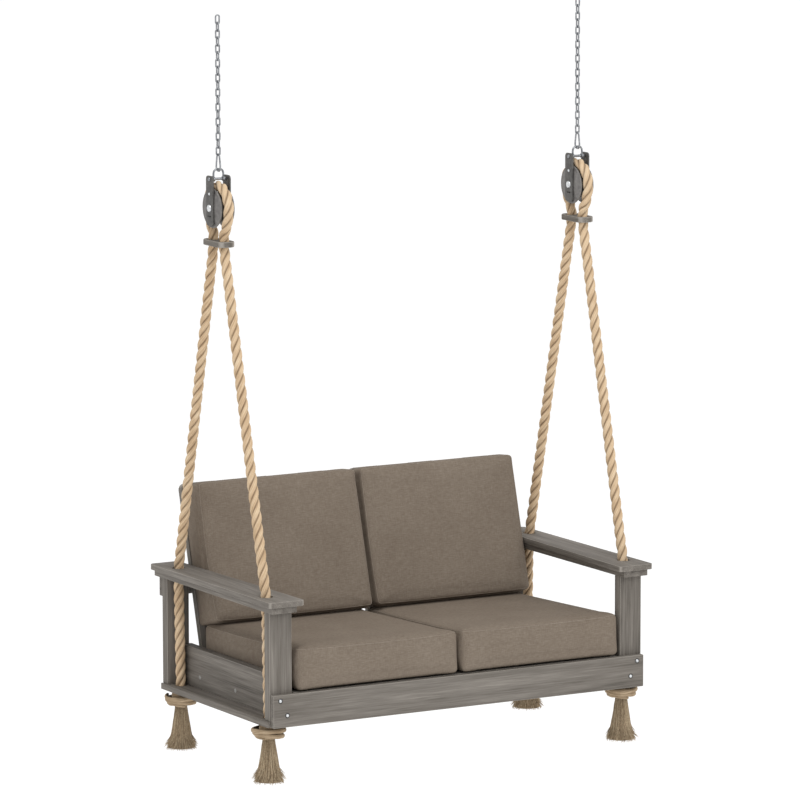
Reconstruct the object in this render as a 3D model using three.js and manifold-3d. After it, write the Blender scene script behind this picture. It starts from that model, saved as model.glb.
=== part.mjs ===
// A two-seat porch swing: a slatted bench with four cushions, hung by two ropes that run over
// pulley blocks on chains. Millimetres, +Z up, +X to the sitter's left as seen from the front,
// -Y towards the front. The origin is midway between the bearing points of the two top links.
import * as THREE from 'three';
import { mergeVertices } from 'three/addons/utils/BufferGeometryUtils.js';
import Module from 'manifold-3d';

const wasm = await Module();
wasm.setup();

// ---- Driving dimensions. Heights are above the underside of the bench, depths are behind the
// ---- face of the front rail, and widths are from the middle.
const GAP = 0.3;

const RAIL_LENGTH = 1500;
const RAIL_HEIGHT = 115;
const RAIL_THICK = 23;
const POST_WIDTH = 88;
const POST_THICK = 38;
const POST_OUTER = 753;
const REAR_POST_FRONT = 787;

const BOTTOM_BOARD_OUTER = 760;
const BOTTOM_BOARD_WIDTH = 140;
const BOTTOM_BOARD_THICK = 21;

const APRON_OUTER = 694;
const APRON_THICK = 38;
const APRON_TOP = 163;

const SUPPORT_OUTER = 759;
const SUPPORT_WIDTH = 97;
const SUPPORT_FRONT = -8.5;
const SUPPORT_BACK = 871;
const SUPPORT_BOTTOM = 402.6;
const SUPPORT_THICK = 22.7;

const ARM_OUTER = 775.5;
const ARM_WIDTH = 139;
const ARM_FRONT = -22;
const ARM_BACK = 878;
const ARM_THICK = 20;
const ARM_CORNER = 14;
const ARM_TAPER = 24;

const BACK_RAIL_LENGTH = 1502;
const BACK_RAIL_HEIGHT = 69;
const BACK_RAIL_THICK = 25;

const BACK_TILT = 15.6;
const BACK_SLATS = 6;
const BACK_SLAT_WIDTH = 140;
const BACK_SLAT_THICK = 22;
const BACK_SLAT_LENGTH = 712;
const BACK_HALF_WIDTH = 643;
const BACK_SLAT_FOOT = 30;

const SEAT_TILT = 2.4;
const SEAT_SLATS = 4;
const SEAT_SLAT_WIDTH = 150;
const SEAT_SLAT_GAP = 20;
const SEAT_SLAT_THICK = 22;
const SEAT_FRONT = 24;
const CLEAT_WIDTH = 38;
const CLEAT_HEIGHT = 32;
const BEARER_START = 40;
const BEARER_END = 625;
const FRONT_SEAT_RAIL_TOP = 90;
const REAR_SEAT_RAIL_BACK = 693;
const REAR_SEAT_RAIL_TOP = 63;

const SEAT_CUSHION = { width: 651.5, depth: 702, height: 154, front: 3, corner: 26, ease: 18 };
const BACK_CUSHION = { width: 651, depth: 503, height: 148, corner: 26, ease: 18 };
const CUSHION_SPLIT = 3;
const SEAT_CUSHION_LIFT = 1.5;
const BACK_CUSHION_GAP = 1;
const BACK_CUSHION_RISE = 200;

const HANG_HALF_WIDTH = 727;
const HANG_DEPTH = 426;
const HANG_HEIGHT = 2428.7;

const ROPE_DIAMETER = 38;
const ROPE_SPREAD = 328;
const ROPE_ARM_X = 724;
const ROPE_BOARD_X = 717;
const ROPE_END = -30;
const ARM_HOLE = 24;
const BOARD_HOLE = 20.5;

const LINK_PITCH = 25.3;
const LINK_COUNT = 19;
const LINK_WIRE = 2.75;
const LINK_HALF_WIDTH = 7.25;
const LINK_JOINED = 22.8;
const LINK_THIRD = 24.8;
const LINK_FREE = 26.2;
const PEAR_WIRE = 3;
const PEAR_TOP = 1947;
const PEAR_BOTTOM = 1894;

const AXLE_HEIGHT = 1763;
const AXLE_RADIUS = 8;
const SHEAVE_PITCH_RADIUS = 75;
const SHEAVE_RIM = 64;
const SHEAVE_HALF_WIDTH = 20;
const GROOVE_RADIUS = 20.8;
const CHEEK_RADIUS = 69;
const CHEEK_INNER = 21.5;
const CHEEK_OUTER = 30.5;
const STRAP_WIDTH = 50;
const STRAP_THICK = 5;
const STRAP_BOTTOM = 1702;
const STRAP_TOP = 1876;
const PIN_HEIGHT = 1864;
const PIN_RADIUS = 4.5;
const SHACKLE_WIRE = 3.5;
const SHACKLE_HALF_WIDTH = 19;

const SPACER_HEIGHT = 1640.5;
const SPACER_THICK = 20;
const SPACER_LENGTH = 146;
const SPACER_WIDTH = 66;
const SPACER_CORNER = 24;
const SPACER_HOLE = 21;
const SPACER_SPREAD = 38.8;

const WOOD_EASE = 3;

// ---- Materials
const wood = new THREE.MeshStandardMaterial({ color: 0x77716c, roughness: 0.72, metalness: 0 });
const cloth = new THREE.MeshStandardMaterial({ color: 0x7d6f62, roughness: 0.92, metalness: 0 });
const hemp = new THREE.MeshStandardMaterial({ color: 0xc2a67e, roughness: 0.95, metalness: 0 });
const zinc = new THREE.MeshStandardMaterial({ color: 0xa9acb0, roughness: 0.35, metalness: 0.9 });
const blockPaint = new THREE.MeshStandardMaterial({ color: 0x6c6a68, roughness: 0.55, metalness: 0 });
const darkIron = new THREE.MeshStandardMaterial({ color: 0x5c5a59, roughness: 0.5, metalness: 0.6 });

// ---- Helpers
const radians = THREE.MathUtils.degToRad;

function addMesh(parent, name, geometry, material) {
  const mesh = new THREE.Mesh(geometry, material);
  mesh.name = name;
  parent.add(mesh);
  return mesh;
}

/** A closed geometry as a solid that can be joined and cut. */
function toSolid(geometry) {
  const bare = geometry.clone();
  bare.deleteAttribute('normal');
  bare.deleteAttribute('uv');
  const merged = mergeVertices(bare, 1e-4);
  const mesh = new wasm.Mesh({
    numProp: 3,
    vertProperties: new Float32Array(merged.attributes.position.array),
    triVerts: new Uint32Array(merged.index.array),
  });
  return new wasm.Manifold(mesh);
}

function toGeometry(solid) {
  const mesh = solid.getMesh();
  const geometry = new THREE.BufferGeometry();
  geometry.setAttribute('position', new THREE.BufferAttribute(mesh.vertProperties, 3));
  geometry.setIndex(new THREE.BufferAttribute(mesh.triVerts, 1));
  return geometry;
}

function join(...geometries) {
  const solids = geometries.map(toSolid);
  return toGeometry(solids.reduce((sum, solid) => sum.add(solid)));
}

/**
 * A rectangle about the origin, with corners cut or rounded by `corner` in `steps` steps.
 * A taper brings one side in by that much at the back: the +x side if the taper is negative,
 * and the -x side if it is positive.
 */
function cornerOutline(width, depth, corner, steps, taper = 0) {
  const outline = new THREE.Shape();
  for (let quarter = 0; quarter < 4; quarter++) {
    const across = quarter === 0 || quarter === 3 ? 1 : -1;
    const along = quarter < 2 ? 1 : -1;
    for (let step = 0; step <= steps; step++) {
      const angle = (quarter + step / steps) * Math.PI / 2;
      const y = along * (depth / 2 - corner) + corner * Math.sin(angle);
      const lean = across * taper < 0 ? taper * (y / depth + 0.5) : 0;
      const x = across * (width / 2 - corner) + corner * Math.cos(angle) + lean;
      if (quarter + step === 0) outline.moveTo(x, y);
      else outline.lineTo(x, y);
    }
  }
  outline.closePath();
  return outline;
}

function circleHole(x, y, radius) {
  const hole = new THREE.Path();
  hole.absarc(x, y, radius, 0, 2 * Math.PI, true);
  return hole;
}

/** An outline raised to `height` about z = 0, its top and bottom edges eased. */
function slab(outline, height, ease, easeSteps = 1, curveSegments = 6) {
  const geometry = new THREE.ExtrudeGeometry(outline, {
    depth: height - 2 * ease,
    bevelThickness: ease,
    bevelSize: ease,
    bevelOffset: -ease,
    bevelSegments: easeSteps,
    curveSegments,
  });
  return geometry.translate(0, 0, ease - height / 2);
}

/** A board between the given limits; in x it is named from the middle outwards. */
function board(parent, name, [x0, x1], [y0, y1], [z0, z1]) {
  const outline = cornerOutline(Math.abs(x1 - x0), y1 - y0, WOOD_EASE, 1);
  const mesh = addMesh(parent, name, slab(outline, z1 - z0, WOOD_EASE), wood);
  mesh.position.set((x0 + x1) / 2, (y0 + y1) / 2, (z0 + z1) / 2);
  return mesh;
}

/** A flat board with a corner and a taper, and two rope holes in it, its edges eased. */
function holedBoard(parent, name, [x0, x1], [y0, y1], [z0, z1], hole, corner, taper = 0) {
  const middle = new THREE.Vector3((x0 + x1) / 2, (y0 + y1) / 2, (z0 + z1) / 2);
  const steps = corner > WOOD_EASE ? 3 : 1;
  const outline = cornerOutline(Math.abs(x1 - x0), y1 - y0, corner, steps, taper);
  for (const leg of [-1, 1]) {
    const holeY = HANG_DEPTH + leg * ROPE_SPREAD - middle.y;
    outline.holes.push(circleHole(hole.x - middle.x, holeY, hole.radius + 1));
  }
  const mesh = addMesh(parent, name, slab(outline, z1 - z0, 1.5), wood);
  mesh.position.copy(middle);
  return mesh;
}

/** A curve whose extrusion steps fall on the listed points, however far apart they are. */
class Route extends THREE.CatmullRomCurve3 {
  getUtoTmapping(u) {
    return u;
  }
}

function rod(points, radius, sides) {
  const section = new THREE.Shape();
  for (let side = 0; side < sides; side++) {
    const angle = 2 * Math.PI * side / sides;
    const x = radius * Math.cos(angle);
    const y = radius * Math.sin(angle);
    if (side === 0) section.moveTo(x, y);
    else section.lineTo(x, y);
  }
  section.closePath();
  const route = new Route(points);
  return new THREE.ExtrudeGeometry(section, { steps: points.length - 1, extrudePath: route });
}

function ring(points, radius, sides) {
  return new THREE.TubeGeometry(new Route(points, true), points.length, radius, sides, true);
}

/** A solid of revolution about Y; a profile that doesn't end on the axis is closed on itself. */
function turned(profile, segments) {
  const points = profile.map(([radius, height]) => new THREE.Vector2(radius, height));
  if (points[0].x > 0) points.push(points[0].clone());
  return new THREE.LatheGeometry(points, segments);
}

/** A solid of revolution whose axis lies along X. */
function turnedAlongX(profile, segments) {
  return turned(profile, segments).rotateZ(-Math.PI / 2);
}

// ---- The bench
const bench = new THREE.Group();
const postBottom = BOTTOM_BOARD_THICK + GAP;
const postTop = SUPPORT_BOTTOM - GAP;
const frontPostDepth = [RAIL_THICK + GAP, RAIL_THICK + POST_THICK];
const rearPostDepth = [REAR_POST_FRONT, REAR_POST_FRONT + POST_THICK];
const backRailFront = rearPostDepth[1] + GAP;
const halfRail = RAIL_LENGTH / 2;
const halfBackRail = BACK_RAIL_LENGTH / 2;

board(bench, 'front_rail', [-halfRail, halfRail], [0, RAIL_THICK], [0, RAIL_HEIGHT]);
board(bench, 'upper_back_rail', [-halfBackRail, halfBackRail],
  [backRailFront, backRailFront + BACK_RAIL_THICK], [postTop - BACK_RAIL_HEIGHT, postTop]);

const sides = { left: -1, right: 1 };
for (const [side, sign] of Object.entries(sides)) {
  const across = (outer, width) => [sign * (outer - width), sign * outer];
  const postAcross = across(POST_OUTER, POST_WIDTH);
  board(bench, `front_post_${side}`, postAcross, frontPostDepth, [postBottom, postTop]);
  board(bench, `rear_post_${side}`, postAcross, rearPostDepth, [postBottom, postTop]);

  const apronDepth = [frontPostDepth[1] + GAP, REAR_POST_FRONT - GAP];
  const apronAcross = across(APRON_OUTER, APRON_THICK);
  board(bench, `apron_${side}`, apronAcross, apronDepth, [postBottom, APRON_TOP]);

  const boardAcross = across(BOTTOM_BOARD_OUTER, BOTTOM_BOARD_WIDTH);
  const boardDepth = [RAIL_THICK + GAP, rearPostDepth[1]];
  const boardHole = { x: sign * ROPE_BOARD_X, radius: BOARD_HOLE };
  holedBoard(bench, `bottom_board_${side}`, boardAcross, boardDepth, [0, BOTTOM_BOARD_THICK],
    boardHole, WOOD_EASE);

  const supportTop = SUPPORT_BOTTOM + SUPPORT_THICK;
  const armHole = { x: sign * ROPE_ARM_X, radius: ARM_HOLE };
  holedBoard(bench, `arm_support_${side}`, across(SUPPORT_OUTER, SUPPORT_WIDTH),
    [SUPPORT_FRONT, SUPPORT_BACK], [SUPPORT_BOTTOM, supportTop], armHole, WOOD_EASE);
  holedBoard(bench, `arm_${side}`, across(ARM_OUTER, ARM_WIDTH), [ARM_FRONT, ARM_BACK],
    [supportTop + GAP, supportTop + GAP + ARM_THICK], armHole, ARM_CORNER, sign * ARM_TAPER);
}

// The seat slats lie on a plane that falls towards the back, from the top of the front rail.
const seatPlane = new THREE.Group();
seatPlane.position.set(0, SEAT_FRONT, RAIL_HEIGHT);
seatPlane.rotation.x = -radians(SEAT_TILT);
bench.add(seatPlane);
const seatHalf = APRON_OUTER - APRON_THICK - GAP;
for (let slat = 0; slat < SEAT_SLATS; slat++) {
  const front = 3 + slat * (SEAT_SLAT_WIDTH + SEAT_SLAT_GAP);
  board(seatPlane, `seat_slat_${slat + 1}`, [-seatHalf, seatHalf],
    [front, front + SEAT_SLAT_WIDTH], [-SEAT_SLAT_THICK, 0]);
}
const underSlats = -SEAT_SLAT_THICK - GAP;
const bearerDepth = [BEARER_START, BEARER_END];
const bearerRise = [underSlats - CLEAT_HEIGHT, underSlats];
for (const [side, sign] of Object.entries(sides)) {
  board(seatPlane, `seat_cleat_${side}`, [sign * (seatHalf - CLEAT_WIDTH), sign * seatHalf],
    bearerDepth, bearerRise);
}
board(seatPlane, 'seat_joist', [-CLEAT_WIDTH / 2, CLEAT_WIDTH / 2], bearerDepth, bearerRise);
board(bench, 'front_seat_rail', [-seatHalf, seatHalf], frontPostDepth,
  [postBottom, FRONT_SEAT_RAIL_TOP]);
board(bench, 'rear_seat_rail', [-seatHalf, seatHalf],
  [REAR_SEAT_RAIL_BACK - POST_THICK, REAR_SEAT_RAIL_BACK], [postBottom, REAR_SEAT_RAIL_TOP]);

// The back slats lean on the upper back rail: their rear face passes its top front edge.
const backPlane = new THREE.Group();
const slatFootDepth = backRailFront - (postTop - BACK_SLAT_FOOT) * Math.tan(radians(BACK_TILT));
backPlane.position.set(0, slatFootDepth - GAP / Math.cos(radians(BACK_TILT)), BACK_SLAT_FOOT);
backPlane.rotation.x = -radians(BACK_TILT);
bench.add(backPlane);
const slatStep = (2 * BACK_HALF_WIDTH - BACK_SLAT_WIDTH) / (BACK_SLATS - 1);
for (let slat = 0; slat < BACK_SLATS; slat++) {
  const outline = cornerOutline(BACK_SLAT_WIDTH, BACK_SLAT_LENGTH, 22, 3);
  const geometry = slab(outline, BACK_SLAT_THICK, 2).rotateX(Math.PI / 2);
  const mesh = addMesh(backPlane, `back_slat_${slat + 1}`, geometry, wood);
  const x = BACK_SLAT_WIDTH / 2 - BACK_HALF_WIDTH + slat * slatStep;
  mesh.position.set(x, -BACK_SLAT_THICK / 2, BACK_SLAT_LENGTH / 2);
}

// ---- Cushions: plain closed solids, two on the slats and two against the back
function cushion(parent, name, { width, depth, height, corner, ease }) {
  const outline = cornerOutline(width, depth, corner, 2);
  return addMesh(parent, name, slab(outline, height, ease, 2), cloth);
}

for (const [side, sign] of Object.entries(sides)) {
  const seat = SEAT_CUSHION;
  const seatPad = cushion(seatPlane, `seat_cushion_${side}`, seat);
  seatPad.position.set(sign * (CUSHION_SPLIT + seat.width / 2), seat.front - SEAT_FRONT + seat.depth / 2,
    SEAT_CUSHION_LIFT + seat.height / 2);

  const back = BACK_CUSHION;
  const backPad = cushion(backPlane, `back_cushion_${side}`, back);
  backPad.rotation.x = Math.PI / 2;
  backPad.position.set(sign * (CUSHION_SPLIT + back.width / 2),
    -BACK_SLAT_THICK - BACK_CUSHION_GAP - back.height / 2, BACK_CUSHION_RISE + back.depth / 2);
}

// ---- Ropes: each runs from its front tassel up over the sheave and down to its rear tassel
const ropeRadius = ROPE_DIAMETER / 2;

/** Half of a rope's centre line, [spread, height, x], from its end up to the top of the sheave. */
function ropeLeg() {
  const armHeight = 450;
  const armSpread = 323.5;
  const gatherHeight = 1617;
  const gatherSpread = 42;
  const leg = [];
  for (const height of [ROPE_END, 30, 120, 210, 300, 390, 424]) {
    const share = THREE.MathUtils.clamp(height / armHeight, 0, 1);
    leg.push([ROPE_SPREAD, height, THREE.MathUtils.lerp(ROPE_BOARD_X, ROPE_ARM_X, share)]);
  }
  const steps = 11;
  for (let step = 0; step <= steps; step++) {
    const share = step / steps;
    leg.push([
      THREE.MathUtils.lerp(armSpread, gatherSpread, share),
      THREE.MathUtils.lerp(armHeight, gatherHeight, share),
      THREE.MathUtils.lerp(ROPE_ARM_X, HANG_HALF_WIDTH, share),
    ]);
  }
  const gathered = [[38.6, 1640], [38.8, 1662], [45, 1682], [57, 1700], [65, 1717]];
  for (const [spread, height] of gathered) {
    leg.push([spread, height, HANG_HALF_WIDTH]);
  }
  for (let angle = -22; angle <= 80; angle += 17) {
    const spread = SHEAVE_PITCH_RADIUS * Math.cos(radians(angle));
    leg.push([spread, AXLE_HEIGHT + SHEAVE_PITCH_RADIUS * Math.sin(radians(angle)), HANG_HALF_WIDTH]);
  }
  return leg;
}

function ropeRoute(sign) {
  const place = (legSign) => ([spread, height, x]) =>
    new THREE.Vector3(sign * x, HANG_DEPTH + legSign * spread, height);
  const front = ropeLeg().map(place(-1));
  const rear = ropeLeg().map(place(1)).reverse();
  return [...front, ...rear];
}

/** The turns that stop the rope under the board, and the tassel of its unlaid end. */
function ropeEnd(x, y) {
  const tassel = [[0, -213], [44, -211], [63, -194], [44, -174], [34, -120], [24, -60]];
  const turns = [[32, -56], [58, -36], [62, -14], [44, -0.8], [0, -0.8]];
  return turned([...tassel, ...turns], 10).rotateX(Math.PI / 2).translate(x, y, 0);
}

for (const [side, sign] of Object.entries(sides)) {
  const pieces = [rod(ropeRoute(sign), ropeRadius, 8)];
  for (const leg of [-1, 1]) {
    pieces.push(ropeEnd(sign * ROPE_BOARD_X, HANG_DEPTH + leg * ROPE_SPREAD));
  }
  addMesh(bench, `rope_${side}`, join(...pieces), hemp);
}

// ---- Pulley blocks, spacer plates, shackles and chains
function strapGeometry() {
  const height = STRAP_TOP - STRAP_BOTTOM;
  const outline = cornerOutline(STRAP_WIDTH, height, 12, 2);
  const middle = (STRAP_TOP + STRAP_BOTTOM) / 2;
  outline.holes.push(circleHole(0, AXLE_HEIGHT - middle, AXLE_RADIUS + GAP + 0.6));
  outline.holes.push(circleHole(0, PIN_HEIGHT - middle, PIN_RADIUS + GAP + 0.6));
  const geometry = new THREE.ExtrudeGeometry(outline,
    { depth: STRAP_THICK, bevelEnabled: false, curveSegments: 6 });
  geometry.translate(0, 0, -STRAP_THICK / 2).rotateX(Math.PI / 2).rotateZ(Math.PI / 2);
  return geometry.translate(0, 0, middle - AXLE_HEIGHT);
}

function sheaveGeometry() {
  const bore = AXLE_RADIUS + GAP;
  const profile = [[bore, -SHEAVE_HALF_WIDTH], [SHEAVE_RIM, -SHEAVE_HALF_WIDTH]];
  const edge = Math.acos((SHEAVE_PITCH_RADIUS - SHEAVE_RIM) / GROOVE_RADIUS);
  const steps = 5;
  for (let step = 0; step <= steps; step++) {
    const angle = THREE.MathUtils.lerp(-edge, edge, step / steps);
    const radius = SHEAVE_PITCH_RADIUS - GROOVE_RADIUS * Math.cos(angle);
    profile.push([radius, GROOVE_RADIUS * Math.sin(angle)]);
  }
  profile.push([SHEAVE_RIM, SHEAVE_HALF_WIDTH], [bore, SHEAVE_HALF_WIDTH]);
  return turnedAlongX(profile, 20);
}

function cheekGeometry(sign) {
  const bore = AXLE_RADIUS + GAP;
  const profile = [[bore, CHEEK_INNER], [CHEEK_RADIUS, CHEEK_INNER], [CHEEK_RADIUS, CHEEK_INNER + 4],
    [54, CHEEK_OUTER - 1.6], [30, CHEEK_OUTER], [bore, CHEEK_OUTER]];
  const geometry = turnedAlongX(profile, 20);
  return sign > 0 ? geometry : geometry.rotateZ(Math.PI);
}

/** A headed pin along X: shank, and a head past each end of the given half length. */
function headedPin(radius, halfLength, headRadius, headThick) {
  const end = halfLength + headThick;
  return turnedAlongX([[0, -end], [headRadius * 0.8, -end], [headRadius, -halfLength],
    [radius, -halfLength], [radius, halfLength], [headRadius, halfLength],
    [headRadius * 0.8, end], [0, end]], 12);
}

function shackleGeometry() {
  const top = PEAR_BOTTOM + GAP + SHACKLE_WIRE - PIN_HEIGHT;
  const half = SHACKLE_HALF_WIDTH;
  const bend = [[half, 6.5], [half, 14], [half - 1, top - 12], [half - 4, top - 4], [half - 10, top]];
  const right = bend.map(([x, z]) => new THREE.Vector3(x, 0, z));
  const left = bend.map(([x, z]) => new THREE.Vector3(-x, 0, z)).reverse();
  const bow = rod([...right, ...left], SHACKLE_WIRE, 8);
  const bore = PIN_RADIUS + GAP;
  const eyeProfile = [[bore, -SHACKLE_WIRE], [9, -SHACKLE_WIRE], [9, SHACKLE_WIRE],
    [bore, SHACKLE_WIRE]];
  const eyes = [-half, half].map((x) => turnedAlongX(eyeProfile, 12).translate(x, 0, 0));
  return join(bow, ...eyes);
}

/** A chain link about the origin, wide along X. */
function linkGeometry(innerLength) {
  const top = innerLength / 2 + LINK_WIRE;
  const half = LINK_HALF_WIDTH;
  const corners = [[half, top - half], [0.5 * half, top], [-0.5 * half, top], [-half, top - half]];
  const upper = corners.map(([x, z]) => new THREE.Vector3(x, 0, z));
  const lower = corners.map(([x, z]) => new THREE.Vector3(-x, 0, -z));
  return ring([...upper, ...lower], LINK_WIRE, 6);
}

/** The pear-shaped link under the chain, wide along Y, at its own height. */
function pearGeometry() {
  const top = PEAR_TOP + PEAR_WIRE;
  const bottom = PEAR_BOTTOM - PEAR_WIRE;
  const half = [[7, top - 2.5], [9.5, top - 11], [15, bottom + 17], [13.5, bottom + 7.5],
    [8, bottom + 1.6]];
  const right = half.map(([y, z]) => new THREE.Vector3(0, y, z));
  const left = half.map(([y, z]) => new THREE.Vector3(0, -y, z)).reverse();
  const points = [new THREE.Vector3(0, 0, top), ...right, new THREE.Vector3(0, 0, bottom), ...left];
  return ring(points, PEAR_WIRE, 8);
}

const linkHeight = (index) => HANG_HEIGHT - LINK_PITCH * (index + 0.5);

function chainGeometry() {
  const pieces = [pearGeometry()];
  for (let index = 2; index < LINK_COUNT; index++) {
    const link = linkGeometry(index === 2 ? LINK_THIRD : LINK_JOINED);
    if (index % 2 === 1) link.rotateZ(Math.PI / 2);
    pieces.push(link.translate(0, 0, linkHeight(index)));
  }
  return join(...pieces);
}

function spacerGeometry() {
  const outline = cornerOutline(SPACER_WIDTH, SPACER_LENGTH, SPACER_CORNER, 3);
  for (const leg of [-1, 1]) {
    outline.holes.push(circleHole(0, leg * SPACER_SPREAD, SPACER_HOLE + 1));
  }
  return slab(outline, SPACER_THICK, 1.5);
}

for (const [side, sign] of Object.entries(sides)) {
  const hanging = new THREE.Group();
  hanging.position.set(sign * HANG_HALF_WIDTH, HANG_DEPTH, 0);
  bench.add(hanging);

  addMesh(hanging, `spacer_plate_${side}`, spacerGeometry(), wood).position.z = SPACER_HEIGHT;
  const block = new THREE.Group();
  block.position.z = AXLE_HEIGHT;
  hanging.add(block);
  addMesh(block, `sheave_${side}`, sheaveGeometry(), darkIron);
  for (const [face, faceSign] of [['outer', sign], ['inner', -sign]]) {
    addMesh(block, `cheek_${face}_${side}`, cheekGeometry(faceSign), blockPaint);
    const strap = addMesh(block, `strap_${face}_${side}`, strapGeometry(), darkIron);
    strap.position.x = faceSign * (CHEEK_OUTER + GAP + STRAP_THICK / 2);
  }
  const grip = CHEEK_OUTER + STRAP_THICK + 2 * GAP;
  addMesh(block, `axle_${side}`, headedPin(AXLE_RADIUS, grip, 12, 5), zinc);
  const crossPin = addMesh(hanging, `block_pin_${side}`, headedPin(PIN_RADIUS, grip, 7, 3.5), zinc);
  crossPin.position.z = PIN_HEIGHT;
  addMesh(hanging, `shackle_${side}`, shackleGeometry(), zinc).position.z = PIN_HEIGHT;

  addMesh(hanging, `chain_${side}`, chainGeometry(), zinc);
  const second = addMesh(hanging, `second_link_${side}`, linkGeometry(LINK_FREE), zinc);
  second.rotation.z = Math.PI / 2;
  second.position.z = linkHeight(1);
  addMesh(hanging, `top_link_${side}`, linkGeometry(LINK_FREE), zinc).position.z = linkHeight(0);
}

// The whole swing, moved so that its origin is midway between the top links' bearing points
const swing = new THREE.Group();
bench.position.set(0, -HANG_DEPTH, -HANG_HEIGHT);
swing.add(bench);

export default swing;
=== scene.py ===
# %% [markdown]
# A porch swing for two, built around a fixed CAD frame. The frame says where every board, pulley
# and link is and how it moves. This lesson gives each of them its surface: boards with eased
# edges painted paler, partly for wear and partly as a painted highlight, ropes laid from three
# strands, frayed tassels, cushions filled with air by a cloth simulation, and the metal fittings.

# %% Tools and the fixed frame
import math
import random

import bmesh
import bpy
from mathutils import Matrix, Quaternion, Vector


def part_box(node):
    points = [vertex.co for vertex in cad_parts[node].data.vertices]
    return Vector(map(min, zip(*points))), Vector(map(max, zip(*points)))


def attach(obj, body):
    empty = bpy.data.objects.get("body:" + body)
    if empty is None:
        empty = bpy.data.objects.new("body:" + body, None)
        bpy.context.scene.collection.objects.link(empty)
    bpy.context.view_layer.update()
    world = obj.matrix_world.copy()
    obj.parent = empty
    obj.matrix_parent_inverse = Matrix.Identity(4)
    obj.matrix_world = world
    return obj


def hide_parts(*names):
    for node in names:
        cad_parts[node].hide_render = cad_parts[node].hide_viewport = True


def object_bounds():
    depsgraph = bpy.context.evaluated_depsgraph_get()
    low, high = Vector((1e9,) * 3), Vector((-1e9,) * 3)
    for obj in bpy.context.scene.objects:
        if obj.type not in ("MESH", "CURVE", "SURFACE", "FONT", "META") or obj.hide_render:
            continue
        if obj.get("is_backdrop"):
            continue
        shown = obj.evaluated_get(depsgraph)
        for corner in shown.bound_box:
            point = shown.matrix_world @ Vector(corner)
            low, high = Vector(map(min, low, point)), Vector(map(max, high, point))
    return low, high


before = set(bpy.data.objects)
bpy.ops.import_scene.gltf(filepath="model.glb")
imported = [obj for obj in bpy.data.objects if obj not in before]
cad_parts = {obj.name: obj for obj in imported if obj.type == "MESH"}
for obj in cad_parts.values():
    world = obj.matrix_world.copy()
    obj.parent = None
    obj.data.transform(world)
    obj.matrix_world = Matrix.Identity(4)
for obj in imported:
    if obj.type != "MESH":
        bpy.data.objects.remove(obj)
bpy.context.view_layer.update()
MM = 0.001
SIDES = {"left": -1, "right": 1}
print("nodes:", len(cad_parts))

# %% [markdown]
# Everything on the bench is placed from one corner of the frame: the face and the underside of
# the front rail. A small function turns bench millimetres into the frame's metres, so the sizes
# below read like a joiner's drawing: across from the middle, behind the rail's face, and above
# the rail's underside.

# %% Places on the bench
rail_low, rail_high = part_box("front_rail")
HANG_DEPTH = -rail_low.y / MM
HANG_HALF_WIDTH = 727


def spot(across, depth, height):
    """A place on the bench, given in millimetres, as a point in the frame."""
    return Vector((across * MM, rail_low.y + depth * MM, rail_low.z + height * MM))


print("the chains hang", round(HANG_DEPTH), "mm behind the rail's face")

# %% [markdown]
# The camera stands far back with a long lens, a little above the seat and to the left, so the
# upright lines stay almost parallel. It is made first, because the cords are judged by what it
# sees.

# %% Camera
VIEW_TURN = math.radians(29.66)
VIEW_RISE = math.radians(8.577)
VIEW_DISTANCE = 20.758
VIEW_ROLL = math.radians(-0.1)
LENS = 263.9

toward = Vector((math.sin(VIEW_TURN) * math.cos(VIEW_RISE),
                 math.cos(VIEW_TURN) * math.cos(VIEW_RISE),
                 -math.sin(VIEW_RISE)))
eye = spot(-1.2, 400, 1025.7) - VIEW_DISTANCE * toward
aim = spot(-14.6, 409.7, 1037.6)
camera_data = bpy.data.cameras.new("camera")
camera_data.lens = LENS
camera_data.sensor_width = 36
camera_data.clip_end = 500
camera = bpy.data.objects.new("camera", camera_data)
camera.location = eye
camera.rotation_mode = "QUATERNION"
camera.rotation_quaternion = ((aim - eye).to_track_quat("-Z", "Y")
                              @ Quaternion((0, 0, 1), VIEW_ROLL))
bpy.context.scene.collection.objects.link(camera)
bpy.context.scene.camera = camera
print("camera at", [round(v, 2) for v in eye])

# %% [markdown]
# Shader maths reads best as ordinary expressions. A Socket wraps one output of a node and
# overloads the operators, so 1 - mask or 0.6 * grain + 0.2 adds the Math nodes by itself. A
# Finish is one material, and its single method, node, adds any other kind of node.

# %% Sockets and finishes


def linear(code):
    """A colour written as six hexadecimal digits, as the linear numbers that a shader takes."""
    values = [int(code[i:i + 2], 16) / 255 for i in (0, 2, 4)]
    return [v / 12.92 if v <= 0.04045 else ((v + 0.055) / 1.055) ** 2.4 for v in values] + [1]


def socket_name(word):
    """Turns base_color into Base Color, the name of a socket of the Principled shader."""
    return word.replace("_", " ").title().replace("Ior", "IOR")


class Socket:
    """The output of a node, for use in expressions."""

    def __init__(self, finish, output):
        self.finish, self.output = finish, output

    def _math(self, operation, *values):
        return self.finish.node("ShaderNodeMath", {"operation": operation}, dict(enumerate(values)))

    def __add__(self, other):
        return self._math("ADD", self, other)

    def __sub__(self, other):
        return self._math("SUBTRACT", self, other)

    def __rsub__(self, other):
        return self._math("SUBTRACT", other, self)

    def __mul__(self, other):
        return self._math("MULTIPLY", self, other)

    def __abs__(self):
        return self._math("ABSOLUTE", self)

    __radd__ = __add__
    __rmul__ = __mul__


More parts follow.
